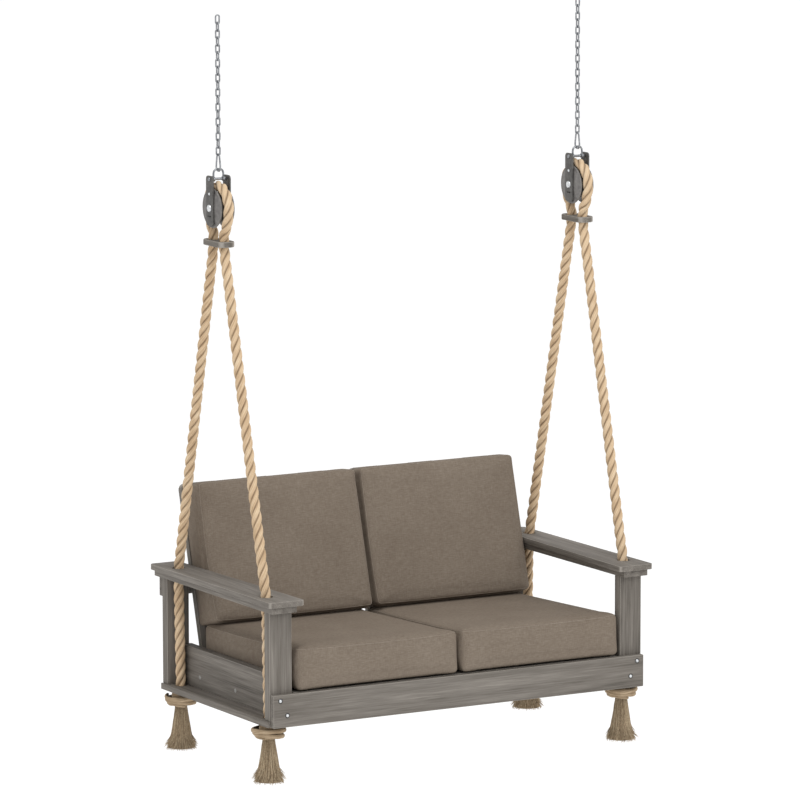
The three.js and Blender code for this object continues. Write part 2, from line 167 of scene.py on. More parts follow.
class Finish:
    """A material made of nodes round one Principled shader."""

    def __init__(self, name, **constants):
        self.material = bpy.data.materials.new(name)
        self.material.use_nodes = True
        self.tree = self.material.node_tree
        self.shader = self.tree.nodes["Principled BSDF"]
        for socket, value in constants.items():
            self.shader.inputs[socket_name(socket)].default_value = value

    def node(self, kind, settings=None, inputs=None, output=0):
        made = self.tree.nodes.new(kind)
        for name, value in (settings or {}).items():
            if name == "stops":
                self._stops(made.color_ramp.elements, value)
            else:
                setattr(made, name, value)
        for name, value in (inputs or {}).items():
            self._feed(made.inputs[name], value)
        return Socket(self, made.outputs[output])

    def _stops(self, elements, stops):
        while len(elements) < len(stops):
            elements.new(0.5)
        for element, (position, colour) in zip(elements, stops):
            element.position = position
            element.color = linear(colour)

    def _feed(self, socket, value):
        if isinstance(value, Socket):
            self.tree.links.new(value.output, socket)
        else:
            socket.default_value = value

    def noise(self, where, scale, detail=3.0, roughness=0.5):
        """Noise of so many features a metre along X, Y and Z."""
        place = self.node("ShaderNodeMapping", None, {"Vector": where, "Scale": scale})
        return self.node("ShaderNodeTexNoise", None,
                         {"Vector": place, "Scale": 1.0, "Detail": detail, "Roughness": roughness})

    def ramp(self, value, *stops):
        return self.node("ShaderNodeValToRGB", {"stops": stops}, {"Fac": value})

    def mix(self, factor, first, second, blend="MIX"):
        """Two colours mixed: sockets 6 and 7 of a Mix node, and its output 2, are its colours."""
        first = linear(first) if isinstance(first, str) else first
        second = linear(second) if isinstance(second, str) else second
        return self.node("ShaderNodeMix", {"data_type": "RGBA", "blend_type": blend},
                         {0: factor, 6: first, 7: second}, 2)

    def place(self, kind="Object"):
        return self.node("ShaderNodeTexCoord", output=kind)

    def bump(self, height, strength, distance):
        return self.node("ShaderNodeBump", None,
                         {"Height": height, "Strength": strength, "Distance": distance})

    def wear(self, **sockets):
        """Links what varies over the surface to the shader, and returns the material."""
        for name, value in sockets.items():
            self._feed(self.shader.inputs[socket_name(name)], value)
        return self.material


# %% [markdown]
# Old outdoor boards are grey-brown, with fine dark fibres and wider pale streaks that all run the
# length of the board, and their eased edges are painted paler: partly wear, partly a painted
# highlight where the round of an edge catches the light. The grain is noise stretched along one
# axis, so each direction of board has its own material. The pale edge comes from the surface
# itself: an eased edge faces none of the board's three axes squarely, however the swing hangs.

# %% Weathered wood
FIBRES = 230
STREAKS = 34
BACK_TILT = -15.6
along_axis = {"x": 0, "y": 1, "z": 2}


def stretched(across, along, axis):
    scale = [across] * 3
    scale[along_axis[axis]] = along
    return scale


def weathered_wood(axis, lean=0):
    """Boards whose grain runs along an axis, or leans back from it by some degrees."""
    wood = Finish(f"weathered_wood_{axis}", specular_ior_level=0.32)
    where = wood.node("ShaderNodeMapping", None, {"Vector": wood.place(),
                                                  "Rotation": (math.radians(lean), 0, 0)})
    fibre = wood.noise(where, stretched(FIBRES, 7, axis), 4, 0.6)
    streak = wood.noise(where, stretched(STREAKS, 1.3, axis), 4, 0.62)
    patch = wood.noise(where, stretched(7, 2.2, axis), 2)
    tone = wood.ramp(0.42 * fibre + 0.58 * streak,
                     (0.34, "4b4640"), (0.45, "6a645d"), (0.55, "7c766f"), (0.68, "958f87"))
    tone = wood.mix(0.4 * patch, tone, "5d5953")
    facing = wood.node("ShaderNodeVectorTransform",
                       {"vector_type": "NORMAL", "convert_from": "WORLD", "convert_to": "OBJECT"},
                       {0: wood.node("ShaderNodeNewGeometry", output="True Normal")})
    x, y, z = [abs(wood.node("ShaderNodeSeparateXYZ", None, {0: facing}, part)) for part in "XYZ"]
    squarest = wood.node("ShaderNodeMath", {"operation": "MAXIMUM"}, {0: x, 1: y})
    squarest = wood.node("ShaderNodeMath", {"operation": "MAXIMUM"}, {0: squarest, 1: z})
    # Painted highlight and wear: where the surface faces no axis squarely, on the eased edges, the
    # tone is mixed towards pale grey.
    pale_edge_wear_and_highlight = wood.node("ShaderNodeMapRange", None,
                       {0: 1 - squarest, "From Min": 0.045, "From Max": 0.16})
    tone = wood.mix(0.6 * pale_edge_wear_and_highlight, tone, "aaa49c")
    height = wood.bump(0.7 * fibre + 0.3 * streak, 0.35, 0.0009)
    return wood.wear(base_color=tone, roughness=0.62 + 0.2 * streak, normal=height)


WOOD = {axis: weathered_wood(axis) for axis in "xyz"}
WOOD["back"] = weathered_wood("z", -BACK_TILT)
print("wood finishes:", ", ".join(m.name for m in WOOD.values()))

# %% [markdown]
# The cushion covers are a heavy taupe canvas. Its cross threads show as fine level lines, because
# they stand a little proud of the upright ones, and the cloth fades in soft patches. Both sets
# of threads are bands of noise in the frame's own coordinates, which needs no unwrapping.

# %% Canvas
CANVAS_THREADS = 420


def canvas(name, dark, middle, light):
    cloth = Finish(name, specular_ior_level=0.08)
    where = cloth.place()
    warp = cloth.noise(where, (CANVAS_THREADS, 55, 55), 2)
    weft = cloth.noise(where, (55, CANVAS_THREADS, CANVAS_THREADS), 2)
    faded = cloth.noise(where, (5, 5, 5), 3)
    tone = cloth.ramp(0.32 * warp + 0.48 * weft + 0.2 * faded,
                      (0.34, dark), (0.5, middle), (0.66, light))
    height = cloth.bump(0.4 * warp + 0.6 * weft, 0.4, 0.0006)
    return cloth.wear(base_color=tone, roughness=0.8 + 0.15 * weft, normal=height)


CANVAS = canvas("canvas", "6d6156", "796e62", "857a6e")
# The seam cords wear a paler copy of the canvas: a painted highlight along the cushions' rounded
# top edges.
SEAM_HIGHLIGHT_CANVAS = canvas("canvas_seam_painted_highlight", "80756a", "8c8175", "978c80")

# %% [markdown]
# A laid rope is three strands, and each strand is a bundle of yarns. The meshes below carry a
# UV map whose U goes round a strand, starting from its outer side, and whose V is the distance
# along it in metres. So the material can draw yarns along a strand and paint shade into the
# furrow where two strands meet.

# %% Hemp
YARNS = 16


def hemp(name, shade, groove_shade, yarn, light):
    rope = Finish(name, specular_ior_level=0.18)
    around = rope.node("ShaderNodeSeparateXYZ", None, {0: rope.place("UV")}, "X")
    length = rope.node("ShaderNodeSeparateXYZ", None, {0: rope.place("UV")}, "Y")
    twist = rope.node("ShaderNodeCombineXYZ", None,
                      {"X": YARNS * (around + 3.2 * length), "Y": 7 * length, "Z": 0.0})
    fibre = rope.node("ShaderNodeTexNoise", None,
                      {"Vector": twist, "Scale": 1.6, "Detail": 4.0, "Roughness": 0.6})
    blotch = rope.node("ShaderNodeTexNoise", None,
                       {"Vector": rope.place(), "Scale": 21.0, "Detail": 2.0})
    tone = rope.ramp(0.7 * fibre + 0.3 * blotch, (0.3, shade), (0.48, yarn), (0.68, light))
    # Painted shade: towards the inner side of each strand, where the strands meet, the tone is
    # mixed towards a dark brown.
    inward = abs(around - 0.5)
    strand_meeting_shade = rope.node("ShaderNodeMapRange", None, {0: inward, "From Min": 0.15, "From Max": 0.32})
    tone = rope.mix(0.85 * strand_meeting_shade, tone, groove_shade)
    height = rope.bump(fibre, 0.6, 0.0012)
    return rope.wear(base_color=tone, roughness=0.86 + 0.1 * fibre, normal=height)


ROPE = hemp("hemp_rope", "a68a6b", "5c4534", "cbb08f", "e2cfb2")
# The stoppers' hemp is a darker copy of the rope's: painted shade for the turns that hang under the
# bottom boards.
STOPPER_SHADED_HEMP = hemp("hemp_stopper_painted_shade", "7c6a54", "382e24", "9d886e", "c2af94")


def frayed():
    fringe = Finish("frayed_hemp", roughness=0.92, specular_ior_level=0.12)
    fibre = fringe.node("ShaderNodeSeparateXYZ", None, {0: fringe.place("UV")}, "X")
    down = fringe.node("ShaderNodeSeparateXYZ", None, {0: fringe.place("UV")}, "Y")
    tone = fringe.ramp(fibre, (0.0, "6b5a46"), (0.35, "98836a"), (0.7, "b8a488"), (1.0, "d6c5a8"))
    speck = fringe.noise(fringe.place(), (420, 420, 150), 3, 0.7)
    speck = fringe.ramp(speck, (0.38, "5b4c3c"), (0.6, "cfbc9e"))
    tone = fringe.mix(0.45, tone, speck)
    # Painted shade: the fibres are darkened towards the top of the tassel, under the stopper turns.
    tone = fringe.mix(0.42 - 0.42 * down, tone, "6a5a45")
    return fringe.wear(base_color=tone)


FRAYED = frayed()

# %% [markdown]
# The fittings are three metals: bright zinc on the chains and bolts, grey paint on the round
# cheeks of the pulley blocks, and darker iron on their straps and sheaves. Metal needs uneven
# roughness more than uneven colour, so a cloud of noise drives both a little.

# %% Metals


def metal(name, tones, roughness, spread, metallic, grain=60):
    made = Finish(name, metallic=metallic)
    cloud = made.noise(made.place(), (grain, grain, grain), 4, 0.6)
    tone = made.ramp(cloud, (0.34, tones[0]), (0.66, tones[1]))
    height = made.bump(cloud, 0.12, 0.0004)
    return made.wear(base_color=tone, roughness=roughness + spread * cloud, normal=height)


ZINC = metal("bright_zinc", ("77797d", "a6a8ab"), 0.22, 0.3, 0.9, 120)
BRIGHT_BOLT = metal("bright_bolt", ("bfc2c6", "eceded"), 0.25, 0.2, 0.7, 120)
DULL_ZINC = metal("dull_zinc", ("85837f", "a5a39f"), 0.5, 0.2, 0.4, 120)
CHEEK_PAINT = metal("grey_block_paint", ("625f5d", "7a7774"), 0.42, 0.3, 0.0)
IRON = metal("dark_iron", ("474543", "62605d"), 0.38, 0.3, 0.3)
# A near-black finish, named slot_shadow, for painted shade: the dark ring of the washer under each
# rail bolt and the inside of the slot in each strap.
PAINTED_SHADE_BLACK = metal("slot_shadow", ("1c1b1a", "262423"), 0.7, 0.1, 0.0)

# %% [markdown]
# Many pieces here are tubes: strands, links, fringe fibres, a shackle's bow. A Shape collects
# rings of points into one mesh. A tube's ring can be turned to face a given outward direction,
# which keeps U = 0.5 on the outside of a strand.

# %% A shape made of tubes and turnings


class Shape:
    """Vertices, faces and UVs of one piece, gathered before its mesh is made."""

    def __init__(self):
        self.points, self.faces, self.uvs = [], [], []

    def _band(self, first, second, sides, low, high, shade):
        for i in range(sides):
            j = (i + 1) % sides
            self.faces.append((first + i, first + j, second + j, second + i))
            left, right = (i / sides, (i + 1) / sides) if shade is None else (shade, shade)
            self.uvs.append(((left, low), (right, low), (right, high), (left, high)))

    def tube(self, path, radius, sides, closed=False, outward=None, flat=1.0, shade=None):
        """A tube along a path. radius is a number or one for each point; flat thins its depth."""
        count = len(path)
        radii = radius if isinstance(radius, (list, tuple)) else [radius] * count
        start, travelled, normal = len(self.points), 0.0, None
        heights = []
        for n, point in enumerate(path):
            before = path[n - 1] if n or closed else point
            after = path[(n + 1) % count] if n < count - 1 or closed else point
            heading = (after - before).normalized()
            if outward:
                normal = outward[n]
            elif normal is None:
                normal = heading.orthogonal()
            normal = (normal - heading * normal.dot(heading)).normalized()
            across = heading.cross(normal)
            for i in range(sides):
                angle = 2 * math.pi * i / sides - math.pi
                swing = normal * (flat * math.cos(angle)) + across * math.sin(angle)
                self.points.append(point + radii[n] * swing)
            travelled += (point - path[n - 1]).length if n else 0
            heights.append(travelled)
        total = travelled if shade is not None else 1
        for n in range(count - 1):
            low, high = heights[n] / total, heights[n + 1] / total
            self._band(start + n * sides, start + (n + 1) * sides, sides, low, high, shade)
        last = start + (count - 1) * sides
        if closed:
            self._band(last, start, sides, 0, 0, shade)
        else:
            self._cap([start + i for i in reversed(range(sides))], shade)
            self._cap([last + i for i in range(sides)], shade)
        return self

    def _cap(self, ring, shade):
        self.faces.append(tuple(ring))
        self.uvs.append(((shade or 0.5, 0.0),) * len(ring))

    def turn(self, profile, centre, axis=(1, 0, 0), segments=48):
        """A turned solid. Its profile is [radius, distance along the axis] and closes on itself."""
        spin = Vector((0, 0, 1)).rotation_difference(Vector(axis))
        start, rings = len(self.points), len(profile)
        for radius, along in profile:
            for i in range(segments):
                angle = 2 * math.pi * i / segments
                flat = Vector((radius * math.cos(angle), radius * math.sin(angle), along))
                self.points.append(Vector(centre) + spin @ flat)
        for n in range(rings):
            ring, after = start + n * segments, start + (n + 1) % rings * segments
            for i in range(segments):
                j = (i + 1) % segments
                self.faces.append((ring + i, ring + j, after + j, after + i))
                self.uvs.append(((0.5, 0.0),) * 4)
        return self

    def mesh(self, name):
        made = bpy.data.meshes.new(name)
        made.from_pydata([tuple(p) for p in self.points], [], self.faces)
        layer = made.uv_layers.new(name="UVMap")
        corners = [uv for face in self.uvs for uv in face]
        layer.data.foreach_set("uv", [value for uv in corners for value in uv])
        tidy = bmesh.new()
        tidy.from_mesh(made)
        bmesh.ops.remove_doubles(tidy, verts=tidy.verts, dist=1e-6)
        bmesh.ops.dissolve_degenerate(tidy, edges=tidy.edges, dist=1e-7)
        bmesh.ops.recalc_face_normals(tidy, faces=tidy.faces)
        tidy.to_mesh(made)
        tidy.free()
        return made


def piece(name, mesh, material, body="seat", replaces=(), sharp=30):
    """A piece of the swing: its mesh, finish, body and the nodes that it stands for."""
    made = bpy.data.objects.new(name, mesh)
    bpy.context.scene.collection.objects.link(made)
    mesh.materials.clear()
    mesh.materials.append(material)
    mesh.shade_smooth()
    mesh.set_sharp_from_angle(angle=math.radians(sharp))
    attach(made, body)
    if replaces:
        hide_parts(*replaces)
    return made


# %% [markdown]
# Each rope starts in the stopper under the front of a bottom board, runs up through the board
# and the arm to a plate that gathers its two legs, goes over the sheave, and comes down the same
# way at the back. Its middle line is the CAD route. Between the points that set it, a
# Catmull-Rom curve keeps the rope smooth.

# %% The ropes' route
ROPE_DIAMETER = 38
ROPE_SPREAD = 328
ROPE_ARM_X = 724
ROPE_BOARD_X = 717
ROPE_START = -22
SHEAVE_HEIGHT = 1763
SHEAVE_PITCH_RADIUS = 75


def blend(low, high, share):
    return low + (high - low) * min(max(share, 0), 1)


def rope_leg():
    """Half of a rope's middle line, [spread, height, x], from its end to the sheave's top."""
    leg = [(ROPE_SPREAD, height, blend(ROPE_BOARD_X, ROPE_ARM_X, height / 450))
           for height in (ROPE_START, 30, 120, 210, 300, 390, 424)]
    for step in range(12):
        share = step / 11
        leg.append((blend(323.5, 42, share), blend(450, 1617, share),
                    blend(ROPE_ARM_X, HANG_HALF_WIDTH, share)))
    for spread, height in [(38.6, 1640), (38.8, 1662), (45, 1682), (57, 1700), (65, 1717)]:
        leg.append((spread, height, HANG_HALF_WIDTH))
    for degrees in range(-22, 81, 17):
        angle = math.radians(degrees)
        leg.append((SHEAVE_PITCH_RADIUS * math.cos(angle),
                    SHEAVE_HEIGHT + SHEAVE_PITCH_RADIUS * math.sin(angle), HANG_HALF_WIDTH))
    return leg


def rope_route(side):
    leg = rope_leg()
    front = [spot(side * x, HANG_DEPTH - spread, height) for spread, height, x in leg]
    rear = [spot(side * x, HANG_DEPTH + spread, height) for spread, height, x in leg]
    return front + rear[::-1]


def smooth(points, step):
    """Points about a step apart on the curve through all the given points."""
    line = []
    for n in range(len(points) - 1):
        before = points[max(n - 1, 0)]
        first, second = points[n], points[n + 1]
        after = points[min(n + 2, len(points) - 1)]
        ease = (second - first).length ** 0.5
        early = (first - before).length ** 0.5 or ease
        late = (after - second).length ** 0.5 or ease
        parts = max(1, round((second - first).length / step))
        for k in range(parts):
            t = k / parts
            pull_in = (first - before) / early ** 2 - (second - before) / (early + ease) ** 2
            pull_out = (second - first) / ease ** 2 - (after - first) / (ease + late) ** 2
            rate_in = (pull_in * ease ** 2 + (second - first)) if n else second - first
            rate_out = (pull_out * ease ** 2 + (after - second) * (ease / late) ** 2
                        if n < len(points) - 2 else second - first)
            line.append((2 * t ** 3 - 3 * t ** 2 + 1) * first + (t ** 3 - 2 * t ** 2 + t) * rate_in
                        + (3 * t ** 2 - 2 * t ** 3) * second + (t ** 3 - t ** 2) * rate_out)
    return line + [points[-1]]


def length_of(path):
    return sum((b - a).length for a, b in zip(path, path[1:]))


# %% [markdown]
# A strand is a helix round the rope's middle line. Three of them, a third of a turn apart and
# pressed into one another, make the rope. The strands rise to the right as you look at them,
# and a full turn takes about three and a half diameters.

# %% Laid rope
LAY = 0.131
STRAND_RADIUS = 0.262 * ROPE_DIAMETER * MM
STRAND_OFFSET = 0.5 * ROPE_DIAMETER * MM - STRAND_RADIUS


def laid_rope(path, turn=0.0):
    shape = Shape()
    normal = Vector((1, 0, 0))
    frames, travelled = [], 0.0
    for n, point in enumerate(path):
        heading = (path[min(n + 1, len(path) - 1)] - path[max(n - 1, 0)]).normalized()
        normal = (normal - heading * normal.dot(heading)).normalized()
        travelled += (point - path[n - 1]).length if n else 0
        frames.append((point, normal, heading.cross(normal), travelled))
    for strand in range(3):
        line, outward = [], []
        for point, normal, across, travelled in frames:
            angle = 2 * math.pi * (travelled / LAY + strand / 3) + turn
            away = normal * math.cos(angle) + across * math.sin(angle)
            line.append(point + STRAND_OFFSET * away)
            outward.append(away)
        shape.tube(line, STRAND_RADIUS, 14, outward=outward, flat=0.97)
    return shape


for side, sign in SIDES.items():
    path = smooth(rope_route(sign), 0.006)
    rope = piece(f"laid_rope_{side}", laid_rope(path, 0.6 * sign).mesh(f"laid_rope_{side}"), ROPE,
                 replaces=[f"rope_{side}"], sharp=60)
    spot(sign * ROPE_BOARD_X, HANG_DEPTH - ROPE_SPREAD, 0)
    length_of(path)
    print(side, "rope:", round(length_of(path), 3), "m,", len(rope.data.polygons), "faces")

# %% [markdown]
# Under the boards each rope is stopped by turns of one thick unlaid strand, wound round it a
# little askew. The turns are one open path whose height and radius wander, and which tapers at
# both ends. The rope's own end runs down through them.

# %% Stoppers
ENDS = {"front": -1, "rear": 1}
STRAND_THICK = 8.8
STOPPER_TURNS = 2.4


def rope_ends():
    """The name, middle, side and end of each place where a rope leaves a bottom board."""
    for side, sign in SIDES.items():
        for end, leg in ENDS.items():
            centre = spot(sign * ROPE_BOARD_X, HANG_DEPTH + leg * ROPE_SPREAD, 0)
            yield f"{end}_{side}", centre, sign, leg


def stopper_path(centre, turn):
    """Turns below the board whose lean changes over on the way down, so that they cross."""
    line = []
    steps = 120
    for n in range(steps):
        share = n / (steps - 1)
        angle = turn + share * 2 * math.pi * STOPPER_TURNS
        lean = blend(6, -5, 1.3 * share - 0.1) * math.sin(angle - turn + 0.4)
        wide = blend(52, 38, share ** 1.3) + 3.5 * math.cos(2 * angle + turn)
        drop = blend(15, 51, share) + lean
        line.append(centre + MM * Vector((wide * math.cos(angle), wide * math.sin(angle), -drop)))
    return line


def stopper(centre, turn):
    line = stopper_path(centre, turn)
    count = len(line)
    radii = [STRAND_THICK * MM * (0.5 + 0.5 * min(1, 9 * n / count, 9 * (count - 1 - n) / count))
             * (1 + 0.07 * math.sin(0.9 * n) + 0.05 * math.sin(0.37 * n + turn))
             for n in range(count)]
    outward = [Vector((p.x - centre.x, p.y - centre.y, 0)).normalized() for p in line]
    shape = Shape().tube(line, radii, 12, outward=outward)
    inner = [centre + MM * Vector((0, 0, z)) for z in (-1.5, -14, -28, -42, -60)]
    shape.tube(inner, [0.03, 0.034, 0.032, 0.026, 0.019], 20)
    return shape


for end, centre, sign, leg in rope_ends():
    name = f"stopper_{end}"
    mesh = stopper(centre, 2.2 + 0.5 * sign + 0.4 * leg).mesh(name)
    piece(name, mesh, STOPPER_SHADED_HEMP, sharp=60)
print("stoppers:", len(SIDES) * len(ENDS))

# %% [markdown]
# Below the turns the rope is combed out into a tassel: some hundreds of fine tapered fibres over
# a filled core, so that light doesn't pass through it. Most fibres lie near the surface, and a
# share of them splay out at the tip.

# %% Tassels
TASSEL_TOP = -53
TASSEL_LENGTH = 155
FIBRES_IN_TASSEL = 900
SPLAYED_SHARE = 0.4


def bell(share):
    """The tassel's radius, in millimetres, at a share of the way down."""
    return 20 + 25 * share ** 1.08 + 8 * max(0, (share - 0.84) / 0.16) ** 1.5


def tassel(centre, seed):
    draw = random.Random(seed)
    shape = Shape()
    shares = [0, 0.12, 0.3, 0.5, 0.7, 0.88, 0.97]
    core = [centre + MM * Vector((0, 0, TASSEL_TOP - TASSEL_LENGTH * share)) for share in shares]
    # The core takes a fixed value from the dark end of the tassel's ramp: painted shade in the
    # depths between the fibres.
    shape.tube(core, [0.92 * bell(share) * MM for share in shares], 28, shade=0.12)
    for fibre in range(FIBRES_IN_TASSEL):
        angle = draw.uniform(0, 2 * math.pi)
        depth = 1 - 0.1 * draw.random() if fibre % 5 else 0.9 * math.sqrt(draw.random())
        splayed = draw.random() < SPLAYED_SHARE
        reach = draw.uniform(0.84, 1.0) if splayed else draw.uniform(0.92, 1.02)
        flick = draw.uniform(2, 17) if splayed else draw.uniform(-2, 4)
        lean = draw.uniform(-0.12, 0.12)
        line = []
        for share in (0, 0.2, 0.4, 0.6, 0.8, 0.92, 1):
            down = share * reach
            late = max(0, (share - 0.74) / 0.26)
            radius = depth * (bell(down) + draw.uniform(-0.9, 1.1)) + flick * late ** 1.5
            rise = (0.45 * flick if splayed else 0) * late
            around = angle + lean * share + draw.uniform(-0.02, 0.02)
            line.append(centre + MM * Vector((radius * math.cos(around), radius * math.sin(around),
                                              TASSEL_TOP + rise - TASSEL_LENGTH * down)))
        thick = draw.uniform(0.6, 1.2) * MM
        radii = [thick, thick, thick, thick, 0.9 * thick, 0.7 * thick, 0.3 * thick]
        shape.tube(line, radii, 4, shade=0.02 + 0.98 * draw.random())
    return shape


for end, centre, sign, leg in rope_ends():
    name = f"tassel_{end}"
    piece(name, tassel(centre, 40 + 3 * sign + leg).mesh(name), FRAYED, sharp=80)
print("fibres in a tassel:", FIBRES_IN_TASSEL)

# %% [markdown]
# A board is a flat outline, raised to its thickness, with every sharp edge eased by a small
# round. The ropes' holes are loops inside the outline. The CAD boards have the right sizes, so
# each new board takes its limits from its own node's box.

# %% Boards


def rounded_outline(width, depth, corner, steps=5, taper=0):
    """A rectangle about the origin with round corners, brought in on one side at the back."""
    outline = []
    for quarter in range(4):
        across = 1 if quarter in (0, 3) else -1
        along = 1 if quarter < 2 else -1
        for step in range(steps + 1 if corner else 1):
            angle = (quarter + step / steps) * math.pi / 2
            y = along * (depth / 2 - corner) + corner * math.sin(angle)
            lean = taper * (y / depth + 0.5) if across * taper < 0 else 0
            outline.append((across * (width / 2 - corner) + corner * math.cos(angle) + lean, y))
    return outline


def circle(x, y, radius, segments=40):
    return [(x + radius * math.cos(2 * math.pi * n / segments),
             y + radius * math.sin(2 * math.pi * n / segments)) for n in range(segments)]


def plank(name, outline, thickness, place, ease=2.6, holes=()):
    """An eased board, in millimetres, whose flat side is turned by the matrix place."""
    board = bmesh.new()
    edges = []
    for loop in (outline, *holes):
        corners = [board.verts.new((x * MM, y * MM, -thickness / 2 * MM)) for x, y in loop]
        edges += [board.edges.new((a, b)) for a, b in zip(corners, corners[1:] + corners[:1])]
    bmesh.ops.triangle_fill(board, use_beauty=True, use_dissolve=False, edges=edges)
    raised = bmesh.ops.extrude_face_region(board, geom=list(board.faces))["geom"]
    lifted = [v for v in raised if isinstance(v, bmesh.types.BMVert)]
    bmesh.ops.translate(board, vec=(0, 0, thickness * MM), verts=lifted)
    bmesh.ops.dissolve_limit(board, angle_limit=math.radians(1), verts=board.verts,
                             edges=board.edges, delimit={"NORMAL"})
    bmesh.ops.recalc_face_normals(board, faces=board.faces)
    sharp = [e for e in board.edges if e.calc_face_angle(0) > math.radians(40)]
    bmesh.ops.bevel(board, geom=sharp, offset=ease * MM, segments=3, profile=0.5, affect="EDGES",
                    clamp_overlap=True)
    bmesh.ops.triangulate(board, faces=[f for f in board.faces if len(f.verts) > 4])
    board.transform(place)
    made = bpy.data.meshes.new(name)
    board.to_mesh(made)
    board.free()
    return made


def board(name, mesh, wood, node):
    """A wooden piece that stands for a node."""
    return piece(name, mesh, wood, replaces=[node], sharp=20)


ON_EDGE = Matrix(((0, 0, 1, 0), (1, 0, 0, 0), (0, 1, 0, 0), (0, 0, 0, 1)))


def timber(node, axis, thickness_axis, corner=0, ease=2.6, holes=(), taper=0):
    """A straight board in the place of its node, its thickness along one axis."""
    low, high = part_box(node)
    size, middle = (high - low) / MM, (low + high) / 2
    turned = {"z": Matrix.Identity(4), "y": Matrix.Rotation(math.pi / 2, 4, "X"), "x": ON_EDGE}
    width, depth, thick = {"z": (size.x, size.y, size.z), "y": (size.x, size.z, size.y),
                           "x": (size.y, size.z, size.x)}[thickness_axis]
    place = Matrix.Translation(middle) @ turned[thickness_axis]
    local = [circle((x - middle.x) / MM, (y - middle.y) / MM, radius) for x, y, radius in holes]
    mesh = plank(f"{node}_board", rounded_outline(width, depth, corner, taper=taper), thick, place,
                 ease, local)
    return board(f"{node}_board", mesh, WOOD[axis], node)


def rope_holes(sign, across, radius):
    return [(sign * across * MM, spot(0, HANG_DEPTH + leg * ROPE_SPREAD, 0).y, radius)
            for leg in ENDS.values()]


ARM_TAPER = 24
ARM_HOLE = 24
BOARD_HOLE = 21.5
timber("front_rail", "x", "y")
timber("upper_back_rail", "x", "y")
for side, sign in SIDES.items():
    for end in ENDS:
        timber(f"{end}_post_{side}", "z", "y", ease=3.2)
    timber(f"apron_{side}", "y", "x", ease=3)
    timber(f"bottom_board_{side}", "y", "z", holes=rope_holes(sign, ROPE_BOARD_X, BOARD_HOLE))
    through = rope_holes(sign, ROPE_ARM_X, ARM_HOLE)
    timber(f"arm_support_{side}", "y", "z", holes=through)
    timber(f"arm_{side}", "y", "z", corner=14, ease=3.6, taper=sign * ARM_TAPER, holes=through)

# %% [markdown]
# The seat slats lie on a plane that falls towards the back, and the back slats lean. A tilted
# slat's box is still centred on the slat, so the box gives the middle and the tilt gives the
# rest. The bearers under the seat are out of sight of a sitter: their CAD shape is right, and
# they only take the wood finish.

# %% Slats and bearers
SEAT_TILT = -2.4
SEAT_SLAT_DEPTH = 150
BACK_SLAT_LENGTH = 712
SLAT_THICK = 22


def tilted(node, degrees):
    low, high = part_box(node)
    return Matrix.Translation((low + high) / 2) @ Matrix.Rotation(math.radians(degrees), 4, "X")


seat_slats = sorted(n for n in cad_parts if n.startswith("seat_slat"))
for node in seat_slats:
    low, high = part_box(node)
    outline = rounded_outline((high.x - low.x) / MM, SEAT_SLAT_DEPTH, 0)
    mesh = plank(f"{node}_board", outline, SLAT_THICK, tilted(node, SEAT_TILT))
    board(f"{node}_board", mesh, WOOD["x"], node)

back_slats = sorted(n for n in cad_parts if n.startswith("back_slat"))
upright = Matrix.Rotation(math.pi / 2, 4, "X")
for node in back_slats:
    low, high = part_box(node)
    outline = rounded_outline((high.x - low.x) / MM, BACK_SLAT_LENGTH, 22)
    place = tilted(node, BACK_TILT) @ upright
    mesh = plank(f"{node}_board", outline, SLAT_THICK, place, 2.4)
    board(f"{node}_board", mesh, WOOD["back"], node)

bearers = {"front_seat_rail": "x", "rear_seat_rail": "x", "seat_joist": "y",
           "seat_cleat_left": "y", "seat_cleat_right": "y"}
for node, axis in bearers.items():
    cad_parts[node].data.materials.clear()
    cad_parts[node].data.materials.append(WOOD[axis])
print("slats:", len(seat_slats), "in the seat and", len(back_slats), "in the back")

# %% [markdown]
# The bench is bolted together. The bolts have low domed heads with a slight brim, in bright
# zinc on the face of the front rail and dulled on the outside of each apron. Countersunk
# screws hold the slats to the rails behind them.

# %% Bolts and screws
BOLT_RADIUS = 7.8
RAIL_BOLTS = ((723, 95), (696, 42))
APRON_FACE = 694
APRON_BOLTS = ((118, 61), (385, 62), (652, 63))
SCREW_RADIUS = 4.6
SCREWS_ACROSS = (-42, 42)
SCREWS_ALONG = (-190, 300)


def dome(shape, centre, axis, radius, height):
    """A bolt's head: a thin brim and a dome, standing on the surface at centre."""
    profile = [[0, -0.4], [radius, -0.4], [radius, 0.5], [radius * 0.93, 0.9]]
    for step in range(1, 8):
        angle = step / 7 * math.pi / 2
        profile.append([radius * 0.86 * math.cos(angle), 0.9 + (height - 0.9) * math.sin(angle)])
    shape.turn([[r * MM, h * MM] for r, h in profile], centre, axis, 24)


bolts, plugs, shaded_washers = Shape(), Shape(), Shape()
for sign in SIDES.values():
    for across, height in RAIL_BOLTS:
        dome(shaded_washers, spot(sign * across, 0, height), (0, -1, 0), 1.12 * BOLT_RADIUS, 1.2)
        dome(bolts, spot(sign * across, -0.6, height), (0, -1, 0), 0.76 * BOLT_RADIUS, 4.6)
    for depth, height in APRON_BOLTS:
        dome(plugs, spot(sign * APRON_FACE, depth, height), (sign, 0, 0), BOLT_RADIUS, 2.6)
piece("rail_bolts", bolts.mesh("rail_bolts"), BRIGHT_BOLT, sharp=40)
# Each washer is near-black: a painted shadow ring round its rail bolt.
piece("rail_washers_painted_shade", shaded_washers.mesh("rail_washers_painted_shade"), PAINTED_SHADE_BLACK, sharp=40)
piece("apron_bolts", plugs.mesh("apron_bolts"), DULL_ZINC, sharp=40)

